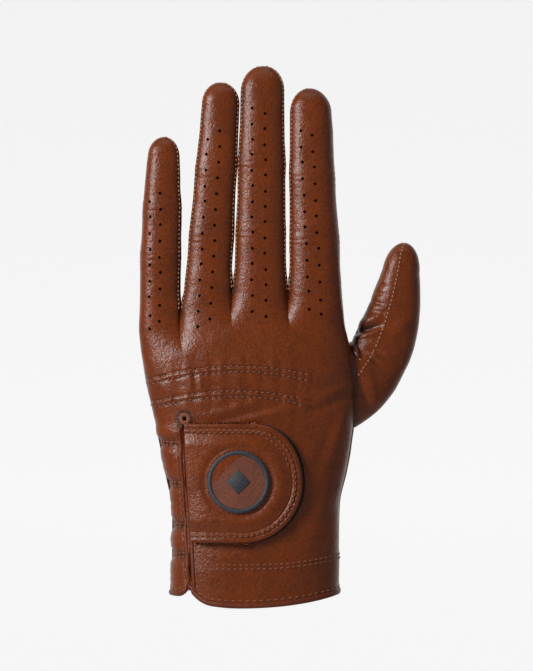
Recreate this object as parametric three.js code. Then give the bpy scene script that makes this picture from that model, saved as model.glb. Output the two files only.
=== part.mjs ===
// A left-hand leather driving glove, filled out as if worn: perforated fingers, shirred back,
// a wrist slit and a hook-and-loop closing tab with a round badge.
// +Z runs from the cuff to the fingertips, the back of the hand faces -Y and the thumb is on the
// +X side. The origin is the middle of the cuff's mouth. Everything is in millimetres.
import * as THREE from "three";
import { mergeVertices } from "three/addons/utils/BufferGeometryUtils.js";

// Walls and clearances
const LEATHER = 1.1;
const GAP = 0.3; // between two pieces that are sewn or lie together
const FINGER_GAP = 0.5; // between two neighbouring fingers
const ELASTIC = 0.6;
const BINDING = 2.0; // a bound edge, from its inner to its outer face

// The hand
const CUFF_WIDTH = 69;
const CUFF_DEPTH = 38;
const WAIST_HEIGHT = 42; // where the hand starts to widen
const PALM_DEPTH = 30; // across the hand below its knuckles
const PALM_HEIGHT = 92;
const KNUCKLE_HEIGHT = 121; // the plane that the fingers stand on
const KNUCKLE_DEPTH = 23;
const KNUCKLE_SHIFT = -6; // the row of fingers sits away from the thumb
const THUMB_ROOT_SWELL = 5; // how far the thumb's root pushes the hand's edge out
const FLARE_POWER = 1.3; // how late the hand widens
const SWELL_POWER = 1.2;
const ROUNDNESS = 2.5; // 2 is an ellipse, and more is squarer
const BACK_EDGE_ANGLE = 100; // where back and palm meet, past the hand's edge

// The fingers: width across the root and below the tip, length, height of the bending axis, the gap
// between the tip and the tip of the next finger towards the middle one, and how late the width tapers
const FINGERS = [
  { name: "little", root: 16.8, tip: 13.6, length: 72.4, bendHeight: 127, tipGap: 8.8, taper: 3 },
  { name: "ring", root: 20.6, tip: 15.8, length: 94.7, bendHeight: 131, tipGap: 0.5, taper: 1 },
  { name: "middle", root: 22.8, tip: 18.4, length: 101.8, bendHeight: 133, taper: 1 },
  { name: "index", root: 22.8, tip: 17.4, length: 92.5, bendHeight: 131, tipGap: 1.5, taper: 1 },
];
const MIDDLE = 2;
const MIDDLE_LEAN = 1.3; // of the middle finger's tip, towards the thumb
const FINGER_FLATNESS = 0.9; // depth over width
const FINGER_CURL = 3; // of the tips, towards the palm
const BEND_DEPTH = 5; // the bending axis lies this far to the palm's side
const TIP_ROUND = 1.2; // height of a fingertip's dome over its half width
const TIP_HOLE = 18; // degrees of the dome left open at its top
const SEAM_ANGLE = 62; // from the middle of a finger's back to its seam
const SEAM_SPLIT = 1.4; // degrees on each side of a seam

// The thumb
const THUMB_LOW = 73; // its root on the hand's edge
const THUMB_HIGH = 107;
const THUMB_EASE = 5; // height over which the hole's ends narrow
const THUMB_HOLE_ANGLE = 48; // how far round the palm the hole reaches
const THUMB_ROOT_DEPTH = 21;
const THUMB_WIDTH = 25; // halfway up
const THUMB_TAPER = 2.2; // how late it narrows towards the tip
const THUMB_TIP_WIDTH = 15;
const THUMB_TIP_DEPTH = 15;
const THUMB_REACH = 19.3; // from the hand's edge out to the tip
const THUMB_TIP_HEIGHT = 150;
const THUMB_ROOT_Y = 6;
const THUMB_TIP_Y = 9;
const THUMB_RISES = [0.08, 0.33]; // the line's two handles, as shares of its height and its reach
const THUMB_RUNS = [0.25, 0.77];
const THUMB_SETTLE = 0.5; // share of the line over which the thumb turns away from the hand's edge
const THUMB_BACK_SEAM = -14; // angles of its lengthwise seams, from the middle of its back
const THUMB_PALM_SEAM = 150;

// The closing tab, the slit that it covers and its badge
const SLIT_X = -29;
const SLIT_WIDTH = 1.2;
const KEYHOLE_HEIGHT = 77;
const KEYHOLE_RADIUS = 1.5;
const TACK_RADIUS = 3.3;
const TAB_HEIGHT = 48;
const TAB_LENGTH = 48;
const TAB_CENTRE = 51;
const LINING = 0.6;
const LINING_INSET = 0.6;
const PAD = 0.7; // each half of the hook-and-loop fastening
const PAD_INSET = 3;
const LOOP_OVERHANG = 1.8; // how much of the loop pad shows past the tab
const BADGE_X = -7.2;
const BADGE_RADIUS = 12.7;
const BADGE_RING = 1.7;
const BADGE_THICKNESS = 0.8;
const EMBLEM_RADIUS = 5;

// Edges, tapes and elastics
const HEM = 2.4;
const WRIST_TAPE_HEIGHT = 17;
const WRIST_TAPE = 4;
const WRIST_TAPE_SPAN = [-40, 84]; // degrees round the hand
const SHIRRING_HEIGHTS = [85, 95];
const SHIRRING = 3.5;
const SHIRRING_SPAN = [-70, 60];
const SIDE_ELASTIC_HEIGHTS = [21, 33.5, 50, 67];
const SIDE_ELASTIC = 3;
const SIDE_ELASTIC_SPAN = 60;

const DEGREE = Math.PI / 180;
const EDGE_SPLIT = 1; // degrees between the back's and the palm's edges
const PALM_EDGE_ANGLE = BACK_EDGE_ANGLE + EDGE_SPLIT;
const TURN = 360;

const leather = (shade) => new THREE.MeshStandardMaterial({ color: shade, roughness: 0.45 });
const cloth = (shade) => new THREE.MeshStandardMaterial({ color: shade, roughness: 0.9 });
const cognac = () => leather(0x7d4124);
const darkCognac = () => leather(0x5e2f1a);
const rawEdge = () => leather(0xa8683a);
const black = () => cloth(0x1b1a1a);

const object = new THREE.Group();

const lerp = THREE.MathUtils.lerp;
const smoothstep = THREE.MathUtils.smoothstep;

function spread(from, to, steps) {
  return Array.from({ length: steps + 1 }, (_, i) => lerp(from, to, i / steps));
}

function add(name, geometry, material) {
  geometry.deleteAttribute("normal");
  geometry.deleteAttribute("uv");
  const closed = mergeVertices(geometry, 1e-4);
  closed.computeVertexNormals();
  const mesh = new THREE.Mesh(closed, material);
  mesh.name = name;
  object.add(mesh);
}

// A sewn panel: a slab whose stations lie on a surface, from one offset of it to another.
// surface(across, along, offset) gives a point, with across x along pointing out of the surface.
function panel(surface, across, along, inner, outer) {
  const geometry = new THREE.BoxGeometry(1, 1, 1, across.length - 1, along.length - 1, 1);
  const place = geometry.attributes.position;
  for (let i = 0; i < place.count; i++) {
    const u = across[Math.round((place.getX(i) + 0.5) * (across.length - 1))];
    const v = along[Math.round((place.getY(i) + 0.5) * (along.length - 1))];
    const point = surface(u, v, place.getZ(i) > 0 ? outer : inner);
    place.setXYZ(i, point.x, point.y, point.z);
  }
  return geometry;
}

// ---- the hand's surface ----

const rowWidth = FINGERS.reduce((sum, f) => sum + f.root, FINGER_GAP * (FINGERS.length - 1));
const rowLeft = KNUCKLE_SHIFT - rowWidth / 2;
const rowRight = KNUCKLE_SHIFT + rowWidth / 2;

function handShare(height) {
  return THREE.MathUtils.clamp((height - WAIST_HEIGHT) / (KNUCKLE_HEIGHT - WAIST_HEIGHT), 0, 1);
}

function flare(height) {
  return Math.sin(handShare(height) * Math.PI / 2) ** FLARE_POWER;
}

function leftEdge(height) {
  return lerp(-CUFF_WIDTH / 2, rowLeft, flare(height));
}

function rightEdge(height) {
  const swell = THUMB_ROOT_SWELL * Math.sin(handShare(height) * Math.PI) ** SWELL_POWER;
  return lerp(CUFF_WIDTH / 2, rowRight, flare(height)) + swell;
}

function handHalfDepth(height) {
  const low = lerp(CUFF_DEPTH, PALM_DEPTH, smoothstep(height, 0, PALM_HEIGHT));
  return lerp(low, KNUCKLE_DEPTH, smoothstep(height, PALM_HEIGHT, KNUCKLE_HEIGHT)) / 2;
}

function squareRound(value) {
  return Math.sign(value) * Math.abs(value) ** (2 / ROUNDNESS);
}

// Angles run from the middle of the back (0), over the thumb's side (90), to the palm (180).
function handPoint(angle, height, offset) {
  const left = leftEdge(height);
  const right = rightEdge(height);
  return new THREE.Vector3(
    (left + right) / 2 + ((right - left) / 2 + offset) * squareRound(Math.sin(angle * DEGREE)),
    -(handHalfDepth(height) + offset) * squareRound(Math.cos(angle * DEGREE)),
    height,
  );
}

// The angle at which the back of the hand, or a surface at an offset from it, passes x
function backAngle(x, height, offset = 0) {
  const left = leftEdge(height);
  const right = rightEdge(height);
  const share = (2 * x - left - right) / (right - left + 2 * offset);
  return Math.asin(Math.sign(share) * Math.abs(share) ** (ROUNDNESS / 2)) / DEGREE;
}

function backPoint(x, height, offset) {
  return handPoint(backAngle(x, height, offset), height, offset);
}

// ---- back and palm, with the slit's edge on the little finger's side ----

const slitTop = KEYHOLE_HEIGHT - TACK_RADIUS / 2;
const SLIT_TURN = 3.5; // height over which the panels' edge leaves the slit

function openEdge(height, start, side) {
  const slit = backAngle(SLIT_X + side * SLIT_WIDTH / 2, Math.min(height, slitTop));
  return lerp(slit, -BACK_EDGE_ANGLE, smoothstep(height, start, start + SLIT_TURN));
}

function handRows(start) {
  return [
    ...spread(HEM + GAP, start, 6),
    ...spread(start + SLIT_TURN / 3, start + SLIT_TURN, 2),
    ...spread(start + SLIT_TURN + 6, THUMB_HIGH - THUMB_EASE, 3),
    ...spread(THUMB_HIGH, KNUCKLE_HEIGHT - GAP, 2),
  ];
}

// The palm's edge steps back round the hole that the thumb is set into.
function palmEdge(height) {
  const rise = smoothstep(height, THUMB_LOW, THUMB_LOW + THUMB_EASE);
  const fall = smoothstep(height, THUMB_HIGH - THUMB_EASE, THUMB_HIGH);
  return PALM_EDGE_ANGLE + THUMB_HOLE_ANGLE * (rise - fall);
}

const backStart = slitTop + GAP;
const palmStart = slitTop - GAP;

function backPanelPoint(share, height, offset) {
  return handPoint(lerp(openEdge(height, backStart, 1), BACK_EDGE_ANGLE, share), height, offset);
}

function palmPanelPoint(share, height, offset) {
  const end = TURN + openEdge(height, palmStart, -1) - EDGE_SPLIT;
  return handPoint(lerp(palmEdge(height), end, share), height, offset);
}

add("back_panel", panel(backPanelPoint, spread(0, 1, 14), handRows(backStart), -LEATHER, 0), cognac());
add("palm_panel", panel(palmPanelPoint, spread(0, 1, 16), handRows(palmStart), -LEATHER, 0), cognac());

// The bound hem runs from one side of the slit round the cuff to the other side.
const hemStart = backAngle(SLIT_X + SLIT_WIDTH / 2, 0);
const hemEnd = TURN + backAngle(SLIT_X - SLIT_WIDTH / 2, 0);
add("cuff_binding", panel(handPoint, spread(hemStart, hemEnd, 28), [0, HEM], -LEATHER - BINDING / 4,
  BINDING / 4), darkCognac());

// Each edge of the slit is bound, on the outside of its panel.
function slitBinding(side) {
  const across = spread(SLIT_X + side * SLIT_WIDTH / 2, SLIT_X + side * (SLIT_WIDTH / 2 + HEM), 2);
  if (side < 0) across.reverse();
  return panel(backPoint, across, spread(HEM + GAP, slitTop - TACK_RADIUS, 8), GAP, GAP + LEATHER / 2);
}
add("slit_binding_back", slitBinding(1), darkCognac());
add("slit_binding_side", slitBinding(-1), darkCognac());

// A round object laid on the back of the hand: a lathed profile of [radius, offset] points
function laidRound(x, height, profile, steps) {
  const outline = profile.map(([radius, offset]) => new THREE.Vector2(radius, offset));
  const geometry = new THREE.LatheGeometry(outline, steps);
  const place = geometry.attributes.position;
  for (let i = 0; i < place.count; i++) {
    const point = backPoint(x + place.getX(i), height - place.getZ(i), place.getY(i));
    place.setXYZ(i, point.x, point.y, point.z);
  }
  return geometry;
}

function ringProfile(inside, outside, low, high) {
  return [[inside, low], [outside, low], [outside, high], [inside, high], [inside, low]];
}

function discProfile(radius, low, high) {
  return [[0, low], [radius, low], [radius, high], [0, high]];
}

add("keyhole_tack", laidRound(SLIT_X, KEYHOLE_HEIGHT,
  ringProfile(KEYHOLE_RADIUS, TACK_RADIUS, GAP, GAP + LEATHER), 20), darkCognac());

// ---- tapes and elastics sewn inside ----

const insideOut = -LEATHER - GAP;
SHIRRING_HEIGHTS.forEach((height, i) => {
  const rows = [height - SHIRRING / 2, height + SHIRRING / 2];
  add(`back_elastic_${i + 1}`, panel(handPoint, spread(...SHIRRING_SPAN, 10), rows,
    insideOut - ELASTIC, insideOut), black());
});
const tapeRows = [WRIST_TAPE_HEIGHT - WRIST_TAPE / 2, WRIST_TAPE_HEIGHT + WRIST_TAPE / 2];
add("wrist_tape", panel(handPoint, spread(...WRIST_TAPE_SPAN, 10), tapeRows, insideOut - ELASTIC,
  insideOut), black());
SIDE_ELASTIC_HEIGHTS.forEach((height, i) => {
  const rows = [height - SIDE_ELASTIC / 2, height + SIDE_ELASTIC / 2];
  const end = TURN + backAngle(SLIT_X - SLIT_WIDTH, height);
  add(`side_elastic_${i + 1}`, panel(handPoint, spread(end - SIDE_ELASTIC_SPAN, end, 5), rows,
    insideOut - ELASTIC, insideOut), black());
});

// ---- fingers ----

// A tube with a domed end. along runs 0..1 up the barrel and 1..2 over the dome.
function fingerPoint(finger, angle, along, offset) {
  const dome = Math.max(along - 1, 0) * 90 * DEGREE;
  const barrel = Math.min(along, 1);
  const width = lerp(finger.root, finger.tip, barrel ** finger.taper) / 2 + offset;
  const depth = width - offset * FINGER_FLATNESS + offset;
  const top = KNUCKLE_HEIGHT + GAP + finger.length - TIP_ROUND * finger.tip / 2;
  return new THREE.Vector3(
    finger.x + finger.lean * barrel + width * Math.cos(dome) * squareRound(Math.sin(angle * DEGREE)),
    FINGER_CURL * barrel ** 2
      - depth * FINGER_FLATNESS * Math.cos(dome) * squareRound(Math.cos(angle * DEGREE)),
    lerp(finger.low ?? KNUCKLE_HEIGHT + GAP, top, barrel)
      + (TIP_ROUND * finger.tip / 2 + offset) * Math.sin(dome),
  );
}

// The palm's strip starts higher, by what its lower edge dips when the finger bends.
function palmRelief(finger) {
  const rise = finger.bendHeight - KNUCKLE_HEIGHT;
  const depth = finger.root / 2 * FINGER_FLATNESS - BEND_DEPTH;
  return Math.hypot(rise, depth) - rise + GAP;
}

const barrelRows = spread(0, 1, 6);
const domeRows = spread(1.25, 2 - TIP_HOLE / 90, 3);

let nextLeft = rowLeft;
FINGERS.forEach((finger) => {
  finger.x = nextLeft + finger.root / 2;
  finger.lean = MIDDLE_LEAN;
  nextLeft += finger.root + FINGER_GAP;
});

// Each outer finger leans so that its tip keeps its gap to the next one's.
function leanTowards(next, finger, side) {
  const apart = (next.tip + finger.tip) / 2 + finger.tipGap;
  finger.lean = next.x + next.lean + side * apart - finger.x;
}
for (let i = MIDDLE - 1; i >= 0; i--) leanTowards(FINGERS[i + 1], FINGERS[i], -1);
for (let i = MIDDLE + 1; i < FINGERS.length; i++) leanTowards(FINGERS[i - 1], FINGERS[i], 1);

FINGERS.forEach((finger, i) => {
  const first = i === 0;
  const last = i === FINGERS.length - 1;
  const rows = [...barrelRows, ...domeRows];
  const strip = (low, high, steps, raise) => {
    const raised = { ...finger, low: KNUCKLE_HEIGHT + GAP + raise };
    return panel((angle, along, offset) => fingerPoint(raised, angle, along, offset),
      spread(low + SEAM_SPLIT, high - SEAM_SPLIT, steps), rows, -LEATHER, 0);
  };
  const backLeft = first ? -BACK_EDGE_ANGLE : -SEAM_ANGLE;
  const backRight = last ? BACK_EDGE_ANGLE : SEAM_ANGLE;
  const palmRight = last ? BACK_EDGE_ANGLE : 180 - SEAM_ANGLE;
  const palmLeft = first ? TURN - BACK_EDGE_ANGLE : 180 + SEAM_ANGLE;
  add(`${finger.name}_back`, strip(backLeft, backRight, 7, 0), cognac());
  add(`${finger.name}_palm`, strip(palmRight, palmLeft, 7, palmRelief(finger)), cognac());
  if (!first) {
    const left = strip(palmLeft, TURN - SEAM_ANGLE, 3, 0);
    add(`${finger.name}_fourchette_left`, left, darkCognac());
  }
  if (!last) {
    const right = strip(SEAM_ANGLE, palmRight, 3, 0);
    add(`${finger.name}_fourchette_right`, right, darkCognac());
  }
});

// ---- thumb ----

const thumbPlane = rightEdge((WAIST_HEIGHT + KNUCKLE_HEIGHT) / 2) + 2 * GAP;
const thumbDome = TIP_ROUND * THUMB_TIP_WIDTH / 2;
const thumbMiddle = (THUMB_LOW + THUMB_HIGH) / 2;
const thumbTop = THUMB_TIP_HEIGHT - thumbDome;
const thumbHandle = (run, y, rise) => new THREE.Vector3(
  thumbPlane + THUMB_REACH * run,
  y,
  lerp(thumbMiddle, thumbTop, rise),
);
const thumbLine = new THREE.CubicBezierCurve3(
  thumbHandle(0, THUMB_ROOT_Y, 0),
  thumbHandle(THUMB_RUNS[0], THUMB_ROOT_Y, THUMB_RISES[0]),
  thumbHandle(THUMB_RUNS[1], THUMB_TIP_Y, THUMB_RISES[1]),
  thumbHandle(1, THUMB_TIP_Y, 1),
);

function thumbWidth(barrel) {
  if (barrel < 0.5) return lerp(THUMB_HIGH - THUMB_LOW, THUMB_WIDTH, smoothstep(barrel, 0, 0.5));
  return lerp(THUMB_WIDTH, THUMB_TIP_WIDTH, (2 * barrel - 1) ** THUMB_TAPER);
}

// A tube that leaves the hand's edge and turns up to a domed tip
function thumbPoint(angle, along, offset) {
  const dome = Math.max(along - 1, 0) * 90 * DEGREE;
  const barrel = Math.min(along, 1);
  const centre = thumbLine.getPoint(barrel);
  const run = thumbLine.getTangent(barrel).setY(0).normalize();
  const forward = new THREE.Vector3(1, 0, 0).lerp(run, smoothstep(barrel, 0, THUMB_SETTLE)).normalize();
  const outward = new THREE.Vector3(forward.z, 0, -forward.x);
  const width = thumbWidth(barrel);
  const depth = lerp(THUMB_ROOT_DEPTH, THUMB_TIP_DEPTH, barrel);
  return centre
    .addScaledVector(outward, (width / 2 + offset) * Math.cos(dome) * squareRound(Math.sin(angle * DEGREE)))
    .addScaledVector(forward, (thumbDome + offset) * Math.sin(dome))
    .add(new THREE.Vector3(
      0,
      -(depth / 2 + offset) * Math.cos(dome) * squareRound(Math.cos(angle * DEGREE)),
      0,
    ));
}

const thumbRows = [...spread(0, 1, 8), ...domeRows];
function thumbStrip(low, high, steps) {
  return panel(thumbPoint, spread(low + SEAM_SPLIT, high - SEAM_SPLIT, steps), thumbRows, -LEATHER, 0);
}
add("thumb_outer", thumbStrip(THUMB_BACK_SEAM, THUMB_PALM_SEAM, 10), cognac());
add("thumb_inner", thumbStrip(THUMB_PALM_SEAM, TURN + THUMB_BACK_SEAM, 8), cognac());

// The gusset joins the palm's edge to the thumb's root, over the hole between them.
function gussetPoint(share, height, offset) {
  const rise = (2 * height - THUMB_LOW - THUMB_HIGH) / (THUMB_HIGH - THUMB_LOW);
  const bulge = THUMB_ROOT_DEPTH / 2 * (1 - Math.abs(rise) ** ROUNDNESS) ** (1 / ROUNDNESS);
  const root = new THREE.Vector3(thumbPlane - GAP, THUMB_ROOT_Y + bulge, height);
  const palm = handPoint(palmEdge(height) + SEAM_SPLIT, height, 0);
  return root.lerp(palm, share).add(new THREE.Vector3(0, offset + GAP, 0));
}

const gussetRows = spread(THUMB_LOW + THUMB_EASE, THUMB_HIGH - THUMB_EASE, 5);
add("thumb_gusset", panel(gussetPoint, spread(0, 1, 3), gussetRows, 0, LEATHER), cognac());

// ---- closing tab ----

const tabStraight = TAB_LENGTH - TAB_HEIGHT / 2;

// A D-shaped outline: share runs from the root to the round end, rise from the lower to the upper edge.
function tabPoint(grow, from) {
  return (share, rise, offset) => {
    const radius = TAB_HEIGHT / 2 + grow;
    const root = SLIT_X + SLIT_WIDTH / 2 + HEM / 2 + from;
    const end = SLIT_X + tabStraight + radius * Math.cos(rise * DEGREE);
    return backPoint(lerp(root, end, share), TAB_CENTRE + radius * Math.sin(rise * DEGREE), offset);
  };
}

function tabLayer(name, grow, from, low, high, material) {
  add(name, panel(tabPoint(grow, from), spread(0, 1, 8), spread(-90, 90, 12), low, high), material);
}

const padStart = tabStraight - HEM;
const loopLow = GAP;
const hookLow = loopLow + PAD + GAP;
const liningLow = hookLow + PAD + GAP;
const tabLow = liningLow + LINING + GAP;
const badgeLow = tabLow + LEATHER + GAP;
tabLayer("loop_pad", LOOP_OVERHANG - PAD_INSET, padStart, loopLow, loopLow + PAD, black());
tabLayer("hook_pad", -PAD_INSET, padStart, hookLow, hookLow + PAD, black());
tabLayer("tab_lining", -LINING_INSET, 0, liningLow, liningLow + LINING, rawEdge());
tabLayer("tab_leather", 0, 0, tabLow, tabLow + LEATHER, cognac());

add("badge_ring", laidRound(BADGE_X, TAB_CENTRE,
  ringProfile(BADGE_RADIUS - BADGE_RING, BADGE_RADIUS, badgeLow, badgeLow + BADGE_THICKNESS), 36),
new THREE.MeshStandardMaterial({ color: 0x2c3442, roughness: 0.5 }));
add("badge_face", laidRound(BADGE_X, TAB_CENTRE,
  discProfile(BADGE_RADIUS - BADGE_RING - GAP, badgeLow, badgeLow + BADGE_THICKNESS / 2), 36),
leather(0x8a5a48));
const emblemLow = badgeLow + BADGE_THICKNESS / 2 + GAP;
add("badge_emblem", laidRound(BADGE_X, TAB_CENTRE,
  discProfile(EMBLEM_RADIUS, emblemLow, emblemLow + BADGE_THICKNESS), 4),
new THREE.MeshStandardMaterial({ color: 0x2c3442, roughness: 0.5 }));

export default object;
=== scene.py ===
import math

import bmesh
import bpy
from mathutils import Matrix, Vector, kdtree, noise
from mathutils.bvhtree import BVHTree


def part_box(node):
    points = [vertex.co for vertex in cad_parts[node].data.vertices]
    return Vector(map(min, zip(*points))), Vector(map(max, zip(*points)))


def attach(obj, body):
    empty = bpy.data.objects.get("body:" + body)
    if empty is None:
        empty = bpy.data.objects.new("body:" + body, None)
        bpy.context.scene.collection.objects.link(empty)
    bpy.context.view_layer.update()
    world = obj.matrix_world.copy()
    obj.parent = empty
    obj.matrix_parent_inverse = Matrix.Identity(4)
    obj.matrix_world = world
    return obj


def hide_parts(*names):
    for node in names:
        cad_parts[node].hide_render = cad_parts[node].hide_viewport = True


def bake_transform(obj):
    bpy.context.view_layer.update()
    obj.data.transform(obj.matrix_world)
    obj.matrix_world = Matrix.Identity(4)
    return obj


bl_info = {
    "name": "Leather driving glove",
    "version": (1, 0, 0),
    "blender": (4, 5, 0),
    "location": "3D View > Sidebar > Glove",
    "description": "Builds the leather, seams, closing tab and badge of a left driving glove round its frame",
    "category": "Object",
}

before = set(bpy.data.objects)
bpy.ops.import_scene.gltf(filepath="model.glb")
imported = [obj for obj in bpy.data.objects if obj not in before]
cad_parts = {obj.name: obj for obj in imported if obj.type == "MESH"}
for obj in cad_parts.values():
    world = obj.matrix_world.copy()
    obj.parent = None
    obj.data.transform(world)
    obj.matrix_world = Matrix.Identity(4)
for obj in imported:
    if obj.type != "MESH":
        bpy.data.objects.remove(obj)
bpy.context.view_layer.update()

# Every size below is in millimetres, and becomes metres where a mesh gets its vertices.
MM = 0.001

# The hand, as in the frame's own solids
CUFF_WIDTH = 69.0
CUFF_DEPTH = 38.0
WAIST_HEIGHT = 42.0
PALM_DEPTH = 30.0
PALM_HEIGHT = 92.0
KNUCKLE_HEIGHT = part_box("back_panel")[1].z / MM
KNUCKLE_DEPTH = 23.0
KNUCKLE_SHIFT = -6.0
THUMB_ROOT_SWELL = 5.0
FLARE_POWER = 1.3  # how late the hand widens
SWELL_POWER = 1.2
ROUNDNESS = 2.5  # 2 is an ellipse, and more is squarer
FINGER_GAP = 0.5
FINGER_FLATNESS = 0.9
FINGER_CURL = 3.0
TIP_ROUND = 1.2
SEAM_ANGLE = 62.0
OUTER_ANGLE = 99.6
SHARP_ANGLE = 50.0  # edges between faces that turn by more than this stay sharp
STITCH_SHARE = 0.66  # of the pitch that a stitch is long
RIDGE_RISE = 20.0  # how far below the webs a finger's ridge begins
WEB_DEPTH = 5.3  # from the middle of the hand to a web's front
SEAM_WIDEN = 1.07  # the strips' seams lie at the finger's sides
WEB_FLARE = 9.0  # above the webs, a finger's strips narrow to their seams over this height
BEND_LENGTH = 24.0  # height of the band above the webs in each finger's blend
HOLE_MARGIN = 1.4  # a hole keeps this far from the line between a finger and the hand

# The cuff's lower edge: round the palm, on the strip beside the slit, and where the back's is lowest
HEM_HEIGHT = 5.3
STRIP_HEM = 4.4
HEM_LOW_X = -6.0
STRIP_CORNER = 4.5  # radius of the strip's corner at the slit
BACK_CORNER = 10.0


class Finger:
    """One finger: its tube, the webs beside it and its two rows of punched holes."""

    def __init__(self, name, root, tip, length, lean, taper, webs, holes):
        self.name = name
        self.root = root
        self.tip = tip
        self.dome = TIP_ROUND * tip / 2
        self.low = KNUCKLE_HEIGHT + 0.6
        self.top = self.low + length - self.dome
        self.lean = lean
        self.taper = taper
        self.webs = webs
        self.holes = holes
        self.x = 0.0
        self.valleys = (None, None)

    def centre(self, height):
        return self.x + self.lean * self.barrel(height)

    def half(self, height):
        return mix(self.root, self.tip, clamp(self.barrel(height)) ** self.taper) / 2

    def height(self, barrel):
        """The height at a share of the barrel, which may be below 0 inside the hand."""
        return mix(self.low, self.top, barrel)

    def barrel(self, height):
        return (height - self.low) / (self.top - self.low)

    def web(self, angle):
        """The height of the line between the finger and the hand, which runs from one web to the other."""
        share = clamp(oval(angle)[0] / SEAM_REACH, -1, 1)
        return mix(self.webs[0], self.webs[1], (share + 1) / 2)

    def seam_half(self, height, reach):
        """Half the width between the finger's own middle and the valley beside it."""
        valley = self.valleys[0 if reach < 0 else 1]
        return None if valley is None else abs(valley(height) - self.centre(height))


def mix(a, b, t):
    return a + (b - a) * t


def clamp(value, low=0.0, high=1.0):
    return max(low, min(high, value))


def smooth(value, low, high):
    t = clamp((value - low) / (high - low))
    return t * t * (3 - 2 * t)


def bell(value, width):
    return math.exp(-((value / width) ** 2))


def spread(low, high, steps):
    return [mix(low, high, i / steps) for i in range(steps + 1)]


def square_round(value):
    return math.copysign(abs(value) ** (2 / ROUNDNESS), value)


def oval(angle):
    """The place of an angle on a squared oval: across it and along it, each from -1 to 1."""
    turn = math.radians(angle)
    return square_round(math.sin(turn)), square_round(math.cos(turn))


def oval_angle(across):
    """The angle at which the squared oval reaches a share of its half width."""
    return math.degrees(math.asin(math.copysign(abs(across) ** (ROUNDNESS / 2), across)))


SEAM_REACH, SEAM_DEPTH = oval(SEAM_ANGLE)


# Sizes are widths at the root and the tip, length, lean of the tip and how late the width tapers. Webs are
# the heights on a finger's left and right. Holes are the count in a row, the height of the
# right and left rows' tops, the pitch, and the rows' offsets from the finger's middle.
FINGERS = [
    Finger("little", 16.8, 13.6, 72.4, 1.6, 3, (120.5, 121.8), (9, 170.0, 166.6, 6.58, -1.2, -5.4)),
    Finger("ring", 20.6, 15.8, 94.7, 5.9, 1, (121.8, 130.9), (13, 195.5, 192.3, 6.46, 0.4, -4.2)),
    Finger("middle", 22.8, 18.4, 101.8, 1.3, 1, (130.9, 129.7), (14, 202.9, 205.0, 6.43, 0.8, -4.2)),
    Finger("index", 22.8, 17.4, 92.5, -2.6, 1, (129.7, 125.5), (12, 193.8, 195.9, 6.7, 0.5, -4.0)),
]
ROW_WIDTH = sum(f.root for f in FINGERS) + FINGER_GAP * (len(FINGERS) - 1)
ROW_LEFT = KNUCKLE_SHIFT - ROW_WIDTH / 2
ROW_RIGHT = KNUCKLE_SHIFT + ROW_WIDTH / 2
edge = ROW_LEFT
for finger in FINGERS:
    finger.x = edge + finger.root / 2
    edge += finger.root + FINGER_GAP


def valley_between(left, right):
    """The middle of the gap between two fingers, at a height."""
    return lambda height: (left.centre(height) + left.half(height)
                           + right.centre(height) - right.half(height)) / 2


for left, right in zip(FINGERS, FINGERS[1:]):
    between = valley_between(left, right)
    left.valleys = (left.valleys[0], between)
    right.valleys = (between, right.valleys[1])

# The slit on the back of the cuff and its keyhole
SLIT_TOP = 75.0
SLIT_X = -30.2
SLIT_LEAN = 3.7
SLIT_LEAN_TOP = 72.0
SLIT_LEAN_DROP = 61.0
STRIP_ROWS = (67.0, 50.2, 33.3, 21.3)  # heights of the double rows on the strip beside the slit
SLIT_GAP = 1.1
SLIT_SETTLE = 0.35  # share of the half width past which the slit moves no column
KEYHOLE = (-29.3, 77.2)
KEYHOLE_RADIUS = 1.5
TACK_RADIUS = 2.6

# The closing tab and its badge
TAB_RADIUS = 24.2
TAB_CENTRE = 51.0
TAB_ROUND_X = -5.3
TAB_LIFT = 2.5
TAB_FACE = 0.9  # thickness of each of its two leathers
TAB_ROWS = (2.07, 4.0)  # its rows of stitches, in from its edge
PAD = 0.7  # each half of the hook-and-loop fastening
PAD_START = -4.0
BADGE_X = -7.2
BADGE_Z = 51.6
BADGE_RADIUS = 12.7
BADGE_RING = 1.65


# ---- surfaces ----


def hand_share(height):
    return clamp((height - WAIST_HEIGHT) / (KNUCKLE_HEIGHT - WAIST_HEIGHT))


def flare(height):
    return math.sin(hand_share(height) * math.pi / 2) ** FLARE_POWER


def left_edge(height):
    return mix(-CUFF_WIDTH / 2, ROW_LEFT, flare(height))


def right_edge(height):
    swell = THUMB_ROOT_SWELL * max(math.sin(hand_share(height) * math.pi), 0) ** SWELL_POWER
    return mix(CUFF_WIDTH / 2, ROW_RIGHT, flare(height)) + swell


def half_depth(height):
    low = mix(CUFF_DEPTH, PALM_DEPTH, smooth(height, 0, PALM_HEIGHT))
    return mix(low, KNUCKLE_DEPTH, smooth(height, PALM_HEIGHT, KNUCKLE_HEIGHT)) / 2


def hand_point(side, angle, height, offset=0.0):
    """A point on the hand. Angles run from the middle of the back (side 1) or the palm (side -1) to +X."""
    left, right = left_edge(height), right_edge(height)
    reach, depth = oval(angle)
    return Vector((
        (left + right) / 2 + ((right - left) / 2 + offset) * reach,
        -side * (half_depth(height) + offset) * depth,
        height,
    ))


def hand_angle(x, height, offset=0.0):
    left, right = left_edge(height), right_edge(height)
    return oval_angle(clamp((2 * x - left - right) / (right - left + 2 * offset), -1, 1))


def back_point(x, height, offset=0.0):
    return hand_point(1, hand_angle(x, height, offset), height, offset)


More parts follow.
